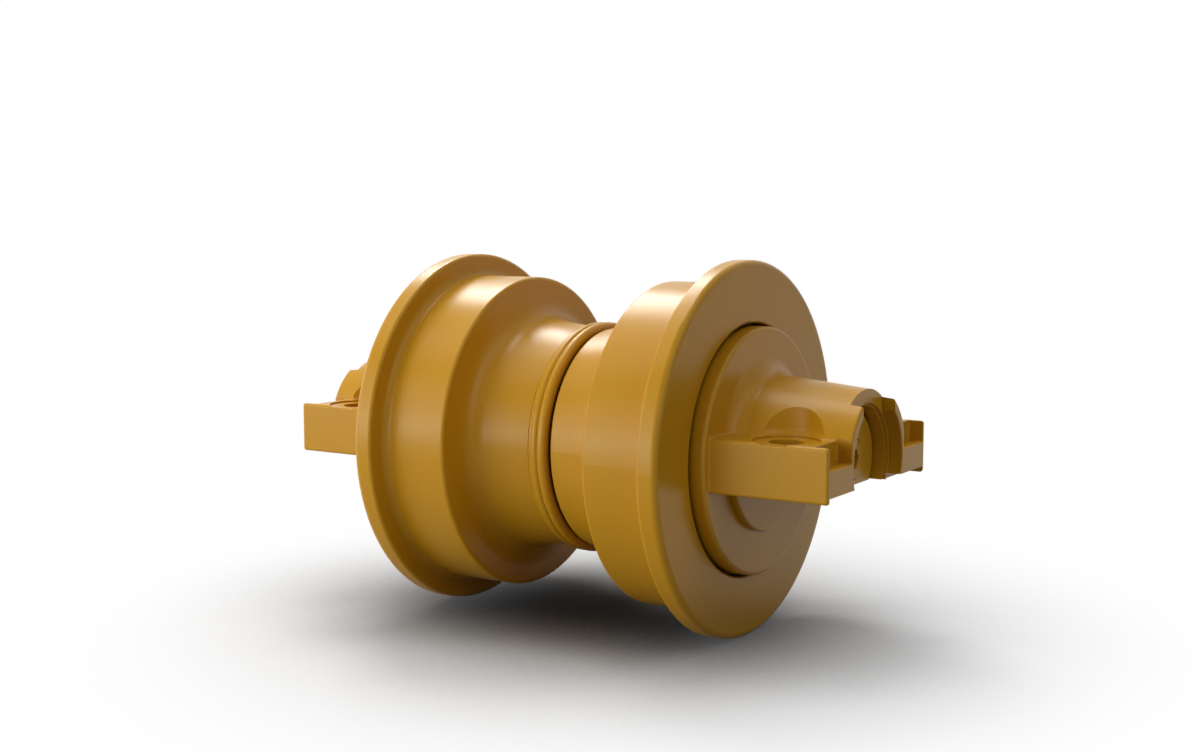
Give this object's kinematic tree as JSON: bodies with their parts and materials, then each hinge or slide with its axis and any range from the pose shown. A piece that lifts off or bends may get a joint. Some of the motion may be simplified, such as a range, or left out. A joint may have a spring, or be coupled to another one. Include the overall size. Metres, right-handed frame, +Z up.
{
  "type": "track roller",
  "caption": "Single flange bottom roller for a crawler track: a two-part rolling shell on a fixed shaft, held at each end by a collar with bolt lugs.",
  "frame": {"origin": "the roller's centre: on its axis, half way between the two flanges", "axes": "+Y along the roller's axis towards the rear end, +Z up from the flat undersides of the collars' lugs, +X to the right seen from the front end"},
  "size_m": [0.3, 0.499, 0.3],
  "materials": {
    "ochre_paint": "semi-gloss ochre machine paint over forged and cast steel",
    "bearing_bronze": "turned bearing bronze",
    "pin_steel": "ground steel",
    "seal_iron": "lapped hard cast iron",
    "seal_rubber": "black nitrile rubber",
    "copper": "soft copper"
  },
  "bodies": {
    "frame_side": {"end_collar_front": "ochre_paint", "end_collar_rear": "ochre_paint", "shaft": "ochre_paint", "oil_plug": "ochre_paint", "collar_pin_front": "pin_steel", "shaft_oring_front": "seal_rubber", "seal_ring_fixed_front": "seal_iron", "toric_ring_fixed_front": "seal_rubber", "collar_pin_rear": "pin_steel", "shaft_oring_rear": "seal_rubber", "seal_ring_fixed_rear": "seal_iron", "toric_ring_fixed_rear": "seal_rubber", "oil_plug_seal": "copper"},
    "roller": {"shell_front": "ochre_paint", "shell_rear": "ochre_paint", "weld_bead": "ochre_paint", "bushing_front": "bearing_bronze", "bushing_pins_front": "pin_steel", "seal_ring_rolling_front": "seal_iron", "toric_ring_rolling_front": "seal_rubber", "bushing_rear": "bearing_bronze", "bushing_pins_rear": "pin_steel", "seal_ring_rolling_rear": "seal_iron", "toric_ring_rolling_rear": "seal_rubber"}
  },
  "joints": [
    {"name": "roller_spin", "type": "hinge", "parent": "frame_side", "child": "roller", "pos_m": [0, 0, 0], "axis": [0, 1, 0], "continuous": true}
  ]
}
